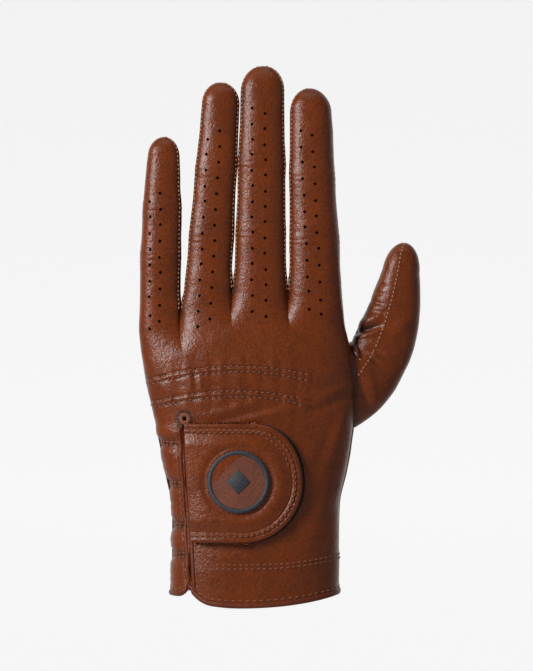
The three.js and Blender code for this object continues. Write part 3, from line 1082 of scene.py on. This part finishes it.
def bezier(points, t):
    a, b, c, d = (Vector(point) for point in points)
    s = 1 - t
    point = a * s ** 3 + b * 3 * s * s * t + c * 3 * s * t * t + d * t ** 3
    run = (b - a) * s * s + (c - b) * 2 * s * t + (d - c) * t * t
    return point, run


def thumb_handle(run, y, rise):
    return (THUMB_PLANE + THUMB_REACH * run, y, mix(THUMB_MIDDLE, THUMB_TOP, rise))


THUMB_LINE = (
    thumb_handle(0, THUMB_ROOT_Y, 0),
    thumb_handle(0.25, THUMB_ROOT_Y, 0.08),
    thumb_handle(0.77, THUMB_TIP_Y, 0.33),
    thumb_handle(1, THUMB_TIP_Y, 1),
)


def thumb_width(barrel):
    if barrel < 0.5:
        return mix(THUMB_HIGH - THUMB_LOW, THUMB_WIDTH, smooth(barrel, 0, 0.5))
    return mix(THUMB_WIDTH, THUMB_TIP_WIDTH, (2 * barrel - 1) ** THUMB_TAPER)


def thumb_root(angle, share):
    """Where the thumb's leather runs into the hand, from the thumb (share 0) to under the hand's (1)."""
    ring = thumb_point(angle, 0)
    sink = oval(angle)[1]
    palm = clamp(-sink)
    rise = (ring.z - THUMB_MIDDLE) / (THUMB_HIGH - THUMB_MIDDLE)
    x = 37.4 - 17 * palm ** 1.3
    z = ring.z + (7.0 if rise < 0 else 1.5) * rise * (1 - 0.6 * palm)
    skin = hand_point(1, hand_angle(min(x, right_edge(z) - 0.6), z), z, -0.9)
    goal = Vector((x, -sink * abs(skin.y), z))
    turn = ring - Vector((3 + 8 * palm, 0, 0))
    return ring * (1 - share) ** 2 + turn * 2 * share * (1 - share) + goal * share ** 2


def thumb_point(angle, along, offset=0.0):
    """A point on the thumb. along is below 0 where it runs into the hand, and 1 to 2 over its tip."""
    if along < 0:
        return thumb_root(angle, -along)
    dome = math.radians(clamp(along - 1) * 90)
    barrel = min(along, 1.0)
    centre, run = bezier(THUMB_LINE, barrel)
    run.y = 0
    run = Vector((1, 0, 0)).lerp(run.normalized(), smooth(barrel, 0, THUMB_SETTLE)).normalized()
    outward = Vector((run.z, 0, -run.x))
    width = thumb_width(barrel)
    depth = mix(THUMB_ROOT_DEPTH, THUMB_TIP_DEPTH, barrel)
    across, back = oval(angle)
    return (centre + outward * (width / 2 + offset) * math.cos(dome) * across
            + run * (THUMB_DOME + offset) * math.sin(dome)
            - Vector((0, (depth / 2 + offset) * math.cos(dome) * back, 0)))


def thumb_relief(point):
    x, y, z = point
    relief = soft_noise(point)
    if y < THUMB_ROOT_Y + 2:
        relief += 1.5 * sum(fold(x, z, ends) for ends in THUMB_FOLDS)
    else:
        for height, strength in ((112, 0.4), (124, 0.35), (127, 0.25)):
            relief -= strength * bell(z - height - 0.2 * (x - 55), 1.1)
    return relief * smooth(x, 36, 42)


# Painted shade: darker along the thumb's root, and in a fold near it on the back.
def thumb_shade_paint(point):
    x, y, z = point
    tone = 0.55 * bell(x - 40.5, 2.2) * (1 if y < 8 else 0.3)
    return tone + 0.8 * bell(z - 113.2 - 0.33 * (x - 42), 1.3) * bell(x - 44, 6) * (y < 8)


def make_thumb_strip(name, low, high, node, sizes):
    angles = even_angles(low, high, 13, 10, sizes.mesh_step)
    rows = spread(-1, 0, 40)[:-1] + spread(0, 1, 130) + spread(1, 2, 24)[1:]
    bm = mapped_grid(angles, rows, thumb_point)
    displace(bm, thumb_relief)
    TREES[name] = BVHTree.FromBMesh(bm)
    thicken(bm, sizes.leather)
    finish_piece(name, bm, "leather", "leather", blend=THUMB_BLEND, replaces=[node],
                 paint=thumb_shade_paint)


class GLOVE_OT_thumb(bpy.types.Operator):
    """Make the thumb's two leathers, its long seams and the seam that joins it to the hand"""

    bl_idname = "glove.thumb"
    bl_label = "Thumb"

    def execute(self, context):
        sizes = context.scene.glove_sizes
        make_thumb_strip("thumb_outer_leather", THUMB_SEAM, THUMB_PALM_SEAM, "thumb_outer", sizes)
        make_thumb_strip("thumb_inner_leather", THUMB_PALM_SEAM, 360 + THUMB_SEAM, "thumb_inner", sizes)
        back = [thumb_point(THUMB_SEAM + THUMB_SEAM_INSET, row) for row in spread(0.05, THUMB_SEAM_END, 90)]
        palm = [thumb_point(THUMB_PALM_SEAM - THUMB_SEAM_INSET, row)
                for row in spread(-0.6, THUMB_SEAM_END, 110)]
        cross = [thumb_point(mix(-88, THUMB_SEAM - 3, share), mix(0.03, 0.33, share ** 0.8))
                 for share in spread(0, 1, 30)]
        seams = (("back", "outer", back), ("palm", "outer", palm), ("cross", "inner", cross))
        for name, leather, path in seams:
            thread_rows(f"thumb_{name}_seam_stitches", TREES[f"thumb_{leather}_leather"], [path], sizes,
                        sizes.seam_pitch, "seam_thread", blend=THUMB_BLEND)
        return {"FINISHED"}


# ---- bound edges, rows of stitches and the keyhole ----


def hem_path():
    """The cuff's lower edge, from the slit's right side round the palm to its left side."""
    columns = hand_columns(1, 0.8)
    start = [column for column in columns if hand_point(1, column[2], 10).x > slit_x(10) + 0.6]
    right = [trunk_point(1, column, 0) for column in start]
    palm = [trunk_point(-1, column, 0) for column in reversed(hand_columns(-1, 0.8))]
    left = [trunk_point(1, column, 0) for column in columns if column not in start]
    return right + palm + left


def slit_line(side, low, high):
    """A line up one side of the slit."""
    return [back_point(slit_x(z) + side * SLIT_GAP / 2, z) for z in spread(low, high, 60)]


def row_line(x_low, x_high, height, steps=90):
    return [back_point(x, height(x)) for x in spread(x_low, x_high, steps)]


def cuff_row(x):
    return 17.6 + 3.7 * clamp((x + 1.7) / 35.4) ** 2


class GLOVE_OT_edges(bpy.types.Operator):
    """Bind the hem and the slit, and sew the rows of stitches on the back and round the keyhole"""

    bl_idname = "glove.edges"
    bl_label = "Edges and rows"

    def execute(self, context):
        sizes = context.scene.glove_sizes
        back = TREES["back"]
        both = TREES["trunk"]
        hem = resample([p + Vector((0, 0, 0.9)) for p in hem_path()], 0.9)
        bm = strap(both, hem, 2.2, 1.7, lift=-0.15)
        finish_piece("hem_binding", bm, "binding", "leather_side", body="hand",
                     replaces=["cuff_binding"])
        for name, node, side in (("slit_binding_right", "slit_binding_back", 1),
                                 ("slit_binding_left", "slit_binding_side", -1)):
            line = [p + Vector((side * 0.75, 0, 0)) for p in slit_line(side, 6.0, SLIT_TOP - 0.8)]
            bm = strap(back, line, 1.7, 1.5, lift=-0.15)
            finish_piece(name, bm, "binding", "leather_side", body="hand", replaces=[node])

        ring = rays(back_point(*KEYHOLE), 20, KEYHOLE_RADIUS * 0.7, TACK_RADIUS)
        stitches("keyhole_stitches", back, ring, TACK_RADIUS - KEYHOLE_RADIUS * 0.7 - 0.02, 1.9, 0.75,
                 "row_thread", body="hand", replaces=["keyhole_tack"])

        rows = []
        for band, low, high in ((upper_band, -43, 21.5), (lower_band, -43, 18.2)):
            for shift in (-1.15, 1.15):
                rows.append(row_line(low, high, lambda x, band=band, shift=shift: band(x) + shift))
        thread_rows("shirring_stitches", back, rows, sizes, sizes.row_pitch, "row_thread", body="hand")
        rows = [row_line(slit_x(17) + 3.2, 36, lambda x, shift=shift: cuff_row(x) + shift)
                for shift in (-1.7, 0)]
        thread_rows("cuff_row_stitches", back, rows, sizes, sizes.row_pitch, "row_thread", body="hand")
        rows = []
        for height in STRIP_ROWS:
            for shift in (-0.75, 0.75):
                end = slit_x(height) - 2.4
                left = left_edge(height) + 0.05
                rows.append(row_line(left, end, lambda x, h=height + shift: h, 20))
        thread_rows("strip_row_stitches", back, rows, sizes, sizes.row_pitch, "row_thread", body="hand")
        hem_row = [p + Vector((0, 0, 2.9)) for p in hem_path()]
        edge_rows = [hem_row, [p + Vector((2.3, 0, 0)) for p in slit_line(1, 10, 26)]]
        edge_rows.append([p - Vector((2.2, 0, 0)) for p in slit_line(-1, 8, SLIT_TOP - 3)])
        stitches("edge_stitches", both, edge_rows, 2.9, 1.7, sizes.thread, "row_thread", body="hand")
        return {"FINISHED"}


# ---- closing tab and badge ----


def tab_outline(grow=0.0, steps=160):
    """The round end of the tab: heights and ends in x, from its lower edge to its upper one."""
    line = []
    for angle in spread(-90, 90, steps):
        turn = math.radians(angle)
        power = 0.75 if angle > 0 else 1.0
        end = TAB_ROUND_X + (TAB_RADIUS + grow) * max(math.cos(turn), 0) ** power
        line.append((end, TAB_CENTRE + (TAB_RADIUS + grow) * math.sin(turn)))
    return line


def tab_start(height):
    return slit_x(height) + SLIT_GAP / 2 + 0.5


def pad_start(height):
    return PAD_START


def no_relief(x, z, to_edge):
    return 0.0


def tab_sheet(grow, lift, relief, start=tab_start, shift=0.0):
    """A D-shaped sheet laid above the back of the hand, which relief(x, z, to_edge) shapes."""
    outline = tab_outline(grow)
    line = kdtree.KDTree(len(outline) * 4 + 240)
    for i, (x, z) in enumerate(outline):
        line.insert((x, z, 0), i)
        if i + 1 < len(outline):
            for part in (0.25, 0.5, 0.75):
                x_next, z_next = outline[i + 1]
                line.insert((mix(x, x_next, part), mix(z, z_next, part), 0), i)
    for z in (outline[0][1], outline[-1][1]):
        for x in spread(-34, TAB_ROUND_X, 119):
            line.insert((x, z, 0), 0)
    line.balance()
    shares = spread(0, 0.8, 50)[:-1] + spread(0.8, 1, 60)

    def place(share, row):
        end, z = outline[row]
        x = mix(start(z), end, share) + shift
        to_edge = line.find((x - shift, z, 0))[2]
        return back_point(x, z, lift + relief(x, z, to_edge))

    bm = mapped_grid(shares, list(range(len(outline))), place)
    bm.normal_update()
    return bm


def tab_relief(x, z, to_edge):
    """The tab's padded face: a rolled edge, a welt between its two rows of stitches and a ring pressed in."""
    roll = -0.45 * (1 - clamp(to_edge / 0.9)) ** 2
    outer, inner = TAB_ROWS
    welt = 0.3 * bell(to_edge - 3.0, 0.6)
    welt -= 0.28 * bell(to_edge - outer, 0.4) + 0.28 * bell(to_edge - inner, 0.45)
    pad = 1.0 * smooth(to_edge, 4.2, 9.0)
    radius = math.hypot(x - BADGE_X, z - BADGE_Z)
    flat = 1 - smooth(radius, 13.5, 17)
    pressed = -0.3 * bell(radius - 14.2, 0.4)
    waves = 0.12 * noise.noise(Vector((x, z, 0)) * 0.16)
    return roll + welt + mix(pad, 0.55, flat) + pressed + waves


def tab_row(inset):
    """The line of a row of stitches round the tab, at an inset from its edge."""
    points = []
    for x, z in tab_outline(-inset, 60):
        points.append(back_point(x, z, TAB_LIFT + 2))
    low, high = points[0], points[-1]
    x = tab_start(TAB_CENTRE) + 1.5
    return [back_point(x, low.z, TAB_LIFT + 2), *points, back_point(x, high.z, TAB_LIFT + 2)]


def badge_part(profile, tree, steps):
    """A turned shape on the tab: profile points are the radius and the height over the tab's middle."""
    middle, normal, _, _ = tree.find_nearest(back_point(BADGE_X, BADGE_Z, TAB_LIFT + 2) * MM)
    across = Vector((normal.y, -normal.x, 0)).normalized() * -1
    up = normal.cross(across)
    up = up if up.z > 0 else -up

    def place(turn, row):
        radius, height = profile[row]
        angle = math.radians(turn)
        flat = middle / MM + across * math.cos(angle) * radius + up * math.sin(angle) * radius
        skin = back_point(flat.x, flat.z)
        bend = (back_point(BADGE_X, BADGE_Z) - skin).y * 0.85
        return Vector((flat.x, flat.y - bend, flat.z)) + normal * height

    bm = mapped_grid(spread(0, 360, steps), list(range(len(profile))), place)
    bmesh.ops.recalc_face_normals(bm, faces=bm.faces)
    return bm


class GLOVE_OT_tab(bpy.types.Operator):
    """Make the padded closing tab, its lining and the two halves of its fastening"""

    bl_idname = "glove.tab"
    bl_label = "Closing tab"

    def execute(self, context):
        sizes = context.scene.glove_sizes
        bm = tab_sheet(0, TAB_LIFT + TAB_FACE, tab_relief)
        TREES["tab"] = BVHTree.FromBMesh(bm)
        thicken(bm, TAB_FACE)
        tab = finish_piece("tab_padded_leather", bm, "leather", "leather", body="tab",
                           replaces=["tab_leather"])
        bm = tab_sheet(0.1, TAB_LIFT, no_relief)
        thicken(bm, TAB_FACE)
        finish_piece("tab_lining_leather", bm, "edge", "suede", body="tab", replaces=["tab_lining"])
        bm = tab_sheet(-3, TAB_LIFT - 1.0, no_relief, start=pad_start)
        thicken(bm, PAD)
        finish_piece("hook_pad_cloth", bm, "hooks", "hook_and_loop", body="tab", replaces=["hook_pad"])
        bm = tab_sheet(0.3, 0.9, no_relief, start=pad_start, shift=0.9)
        thicken(bm, PAD)
        finish_piece("loop_pad_cloth", bm, "hooks", "hook_and_loop", body="hand", replaces=["loop_pad"])
        rows = [tab_row(inset) for inset in TAB_ROWS]
        thread_rows("tab_stitches", TREES["tab"], rows, sizes, sizes.row_pitch, "row_thread", body="tab")
        return {"FINISHED"}


class GLOVE_OT_badge(bpy.types.Operator):
    """Make the round badge: its ring, its face, a plain diamond and the ticks that sew it on"""

    bl_idname = "glove.badge"
    bl_label = "Badge"

    def execute(self, context):
        sizes = context.scene.glove_sizes
        tree = TREES["tab"]
        inside = BADGE_RADIUS - BADGE_RING
        ring = [(inside, -0.3), (inside, 0.55), (inside + 0.25, 0.75), (BADGE_RADIUS - 0.3, 0.75),
                (BADGE_RADIUS, 0.5), (BADGE_RADIUS, -0.3), (inside, -0.3)]
        face = [(0, 0.4), (inside * 0.5, 0.4), (inside - 0.1, 0.35), (inside - 0.1, -0.2), (0, -0.2)]
        mark = [(0, 0.85), (4.4, 0.85), (4.9, 0.7), (4.9, 0.1), (0, 0.1)]
        for name, profile, steps, finish, slot, node_name in (
            ("badge_ring_rubber", ring, 96, "slate", "badge_rubber", "badge_ring"),
            ("badge_face_leather", face, 96, "badge_face", "badge_leather", "badge_face"),
            ("badge_diamond", mark, 4, "slate", "badge_rubber", "badge_emblem"),
        ):
            bm = badge_part(profile, tree, steps)
            finish_piece(name, bm, finish, slot, body="tab", replaces=[node_name])
        centre = back_point(BADGE_X, BADGE_Z, TAB_LIFT + 2)
        ticks = rays(centre, 40, BADGE_RADIUS - 0.1, BADGE_RADIUS + 0.95)
        stitches("badge_stitches", tree, ticks, 1.0, 0.95, 0.4, "badge_thread", body="tab")
        return {"FINISHED"}


class GLOVE_OT_inside(bpy.types.Operator):
    """Give the elastics and the tape inside the hand their finish"""

    bl_idname = "glove.inside"
    bl_label = "Elastics and tape"

    def execute(self, context):
        for name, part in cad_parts.items():
            if "elastic" in name or "tape" in name:
                for slot in part.material_slots:
                    slot.link = "OBJECT"
                    slot.material = FINISHES["elastic"]
        return {"FINISHED"}


# ---- stage ----

# The stage, in metres: its backdrop is a round floor that curves up into a wall all round.
BACKDROP_RADIUS = 2.0
BACKDROP_CURVE = 0.3
BACKDROP_FLOOR = -0.35
BACKDROP_TOP = 2.6
LIGHT_AIM = (0.0, 0.0, 0.11)
CAMERA_DISTANCE = 1.4
CAMERA_SENSOR = 36  # height of the camera's sensor, in millimetres


def paper_material(glow):
    """Pale paper that glows, most of all behind the glove."""
    material, tree, shader, place = new_material("backdrop_paper")
    parts = node(tree, "ShaderNodeSeparateXYZ", {"Vector": place})
    wire(tree, shader, {
        "Emission Strength": remap(tree, parts.outputs["Y"], 0.7, 1.7, glow * 0.12, glow),
        "Emission Color": (1, 1, 1, 1),
        "Base Color": (0.4, 0.4, 0.4, 1),
        "Roughness": 0.9,
    })
    return material


def make_backdrop(glow):
    flat = BACKDROP_RADIUS - BACKDROP_CURVE
    profile = [(0.0, BACKDROP_FLOOR), (flat, BACKDROP_FLOOR)]
    for turn in spread(0, math.pi / 2, 12)[1:]:
        rise = BACKDROP_CURVE * (1 - math.cos(turn))
        profile.append((flat + BACKDROP_CURVE * math.sin(turn), BACKDROP_FLOOR + rise))
    profile.append((BACKDROP_RADIUS, BACKDROP_TOP))

    def place(turn, row):
        reach, height = profile[row]
        angle = math.radians(turn)
        return Vector((reach * math.cos(angle), reach * math.sin(angle), height)) / MM

    bm = mapped_grid(spread(0, 360, 64), list(range(len(profile))), place)
    mesh = bpy.data.meshes.new("backdrop")
    bm.to_mesh(mesh)
    bm.free()
    mesh.shade_smooth()
    mesh.materials.append(paper_material(glow))
    backdrop = bpy.data.objects.new("backdrop", mesh)
    bpy.context.scene.collection.objects.link(backdrop)


def make_lamp(name, place, size, power):
    """A soft rectangular light that looks at the middle of the glove."""
    data = bpy.data.lights.new(name, "AREA")
    data.shape = "RECTANGLE"
    data.size, data.size_y = size
    data.energy = power
    lamp = bpy.data.objects.new(name, data)
    bpy.context.scene.collection.objects.link(lamp)
    lamp.location = place
    lamp.rotation_euler = (Vector(LIGHT_AIM) - Vector(place)).to_track_quat("-Z", "Y").to_euler()


class GLOVE_OT_stage(bpy.types.Operator):
    """Set up the pale backdrop, the soft lights and the camera"""

    bl_idname = "glove.stage"
    bl_label = "Stage"

    def execute(self, context):
        light = context.scene.glove_light
        scene = context.scene
        make_backdrop(light.paper)
        make_lamp("key_light", (-0.85, -0.7, 0.6), (0.35, 0.6), light.key)
        make_lamp("fill_light", (0.75, -1.0, 0.35), (0.8, 0.8), light.fill)
        make_lamp("top_light", (0.0, -0.1, 1.1), (0.7, 0.5), light.top)
        world = bpy.data.worlds.new("studio")
        world.use_nodes = True
        world.node_tree.nodes["Background"].inputs["Color"].default_value = (1, 1, 1, 1)
        world.node_tree.nodes["Background"].inputs["Strength"].default_value = light.world
        scene.world = world

        camera = bpy.data.cameras.new("camera")
        camera.sensor_fit = "VERTICAL"
        camera.sensor_height = CAMERA_SENSOR
        camera.lens = CAMERA_SENSOR * CAMERA_DISTANCE / light.frame_height
        view = bpy.data.objects.new("camera", camera)
        scene.collection.objects.link(view)
        view.location = (light.centre_x, -CAMERA_DISTANCE, light.centre_z)
        view.rotation_euler = (math.radians(90), 0, 0)
        scene.camera = view
        scene.view_settings.view_transform = "Standard"
        return {"FINISHED"}


# ---- settings, panel and registration ----


def length_setting(name, description, default):
    return bpy.props.FloatProperty(name=name, description=description, default=default, min=0.01)


def light_setting(name, description, default, unit="NONE"):
    return bpy.props.FloatProperty(name=name, description=description, default=default, unit=unit)


def colour_setting(name, description, default):
    return bpy.props.FloatVectorProperty(name=name, description=description, default=default,
                                         subtype="COLOR", size=3, min=0, max=1)


class GloveSizes(bpy.types.PropertyGroup):
    """Sizes of the glove's leather, seams and thread, in millimetres"""

    mesh_step: length_setting("Mesh step", "Distance between points on the back's leather, in mm", 0.56)
    leather: length_setting("Leather", "Thickness of the leather, in mm", 0.8)
    hole_diameter: length_setting("Hole diameter", "Width of a punched hole, in mm", 1.3)
    thread: length_setting("Thread", "Thickness of the thread, in mm", 0.62)
    seam_inset: length_setting("Seam inset", "From a seam to its row of stitches, in mm", 1.0)
    seam_pitch: length_setting("Seam pitch", "Pitch of the stitches along the seams, in mm", 1.8)
    row_pitch: length_setting("Row pitch", "Pitch of the stitches in rows, in mm", 2.4)


class GloveColours(bpy.types.PropertyGroup):
    """Colours of the leathers, threads and badge"""

    leather: colour_setting("Leather", "Cognac leather", (0.475, 0.195, 0.0))
    # Shade: the darker end of the leather's random mottle, and the painted shade in the grain's crevices, the
    # hollows and the seams.
    shade: colour_setting("Shade", "Hollows and worn marks in the leather", (0.20, 0.072, 0.008))
    # Darker than the leather: painted shade for the gaps between the fingers.
    side: colour_setting("Side walls", "Leather between the fingers", (0.24, 0.095, 0.035))
    binding: colour_setting("Binding", "Bound edges", (0.44, 0.18, 0.05))
    cut_edge: colour_setting("Cut edge", "Raw edge and lining of the tab", (0.74, 0.38, 0.17))
    badge_face: colour_setting("Badge face", "Leather in the badge", (0.45, 0.235, 0.155))
    seam_thread: colour_setting("Seam thread", "Thread of the finger seams", (0.66, 0.46, 0.33))
    row_thread: colour_setting("Row thread", "Thread of the rows and edges", (0.50, 0.27, 0.14))
    badge_thread: colour_setting("Badge thread", "Thread round the badge", (0.12, 0.10, 0.10))
    slate: colour_setting("Slate", "Badge ring and its diamond", (0.12, 0.135, 0.17))
    tape: colour_setting("Tape", "Hook and loop, elastics and tape", (0.07, 0.07, 0.075))


class GloveLight(bpy.types.PropertyGroup):
    """Lights and camera"""

    key: light_setting("Key", "Power of the upper left light", 15, "POWER")
    fill: light_setting("Fill", "Power of the right light", 0.1, "POWER")
    top: light_setting("Top", "Power of the light above", 1.4, "POWER")
    paper: light_setting("Paper", "Glow of the backdrop", 0.68)
    world: light_setting("World", "Strength of the light all round", 0.05)
    frame_height: light_setting("Frame height", "Height that the picture shows", 0.2776, "LENGTH")
    centre_x: light_setting("Centre X", "Middle of the picture", 0.0043, "LENGTH")
    centre_z: light_setting("Centre Z", "Middle of the picture", 0.1113, "LENGTH")


class GLOVE_PT_panel(bpy.types.Panel):
    """Settings and steps of the glove"""

    bl_idname = "GLOVE_PT_panel"
    bl_label = "Driving glove"
    bl_space_type = "VIEW_3D"
    bl_region_type = "UI"
    bl_category = "Glove"

    def draw(self, context):
        for settings in (context.scene.glove_sizes, context.scene.glove_colours, context.scene.glove_light):
            box = self.layout.box()
            for name in settings.__annotations__:
                box.prop(settings, name)
        for step in STEPS:
            self.layout.operator(step.bl_idname)


class GLOVE_OT_finishes(bpy.types.Operator):
    """Mix the leathers, threads and cloths"""

    bl_idname = "glove.finishes"
    bl_label = "Finishes"

    def execute(self, context):
        make_finishes(context.scene.glove_colours)
        return {"FINISHED"}


STEPS = (
    GLOVE_OT_finishes,
    GLOVE_OT_back,
    GLOVE_OT_palm,
    GLOVE_OT_fingers,
    GLOVE_OT_thumb,
    GLOVE_OT_edges,
    GLOVE_OT_tab,
    GLOVE_OT_badge,
    GLOVE_OT_inside,
    GLOVE_OT_stage,
)
CLASSES = (GloveSizes, GloveColours, GloveLight, *STEPS, GLOVE_PT_panel)


def register():
    for cls in CLASSES:
        bpy.utils.register_class(cls)
    bpy.types.Scene.glove_sizes = bpy.props.PointerProperty(type=GloveSizes)
    bpy.types.Scene.glove_colours = bpy.props.PointerProperty(type=GloveColours)
    bpy.types.Scene.glove_light = bpy.props.PointerProperty(type=GloveLight)


def unregister():
    del bpy.types.Scene.glove_light
    del bpy.types.Scene.glove_colours
    del bpy.types.Scene.glove_sizes
    for cls in reversed(CLASSES):
        bpy.utils.unregister_class(cls)


def main():
    register()
    bpy.ops.glove.finishes()
    bpy.ops.glove.back()
    bpy.ops.glove.palm()
    bpy.ops.glove.fingers()
    bpy.ops.glove.thumb()
    bpy.ops.glove.edges()
    bpy.ops.glove.tab()
    bpy.ops.glove.badge()
    bpy.ops.glove.inside()
    bpy.ops.glove.stage()


if __name__ == "__main__":
    main()
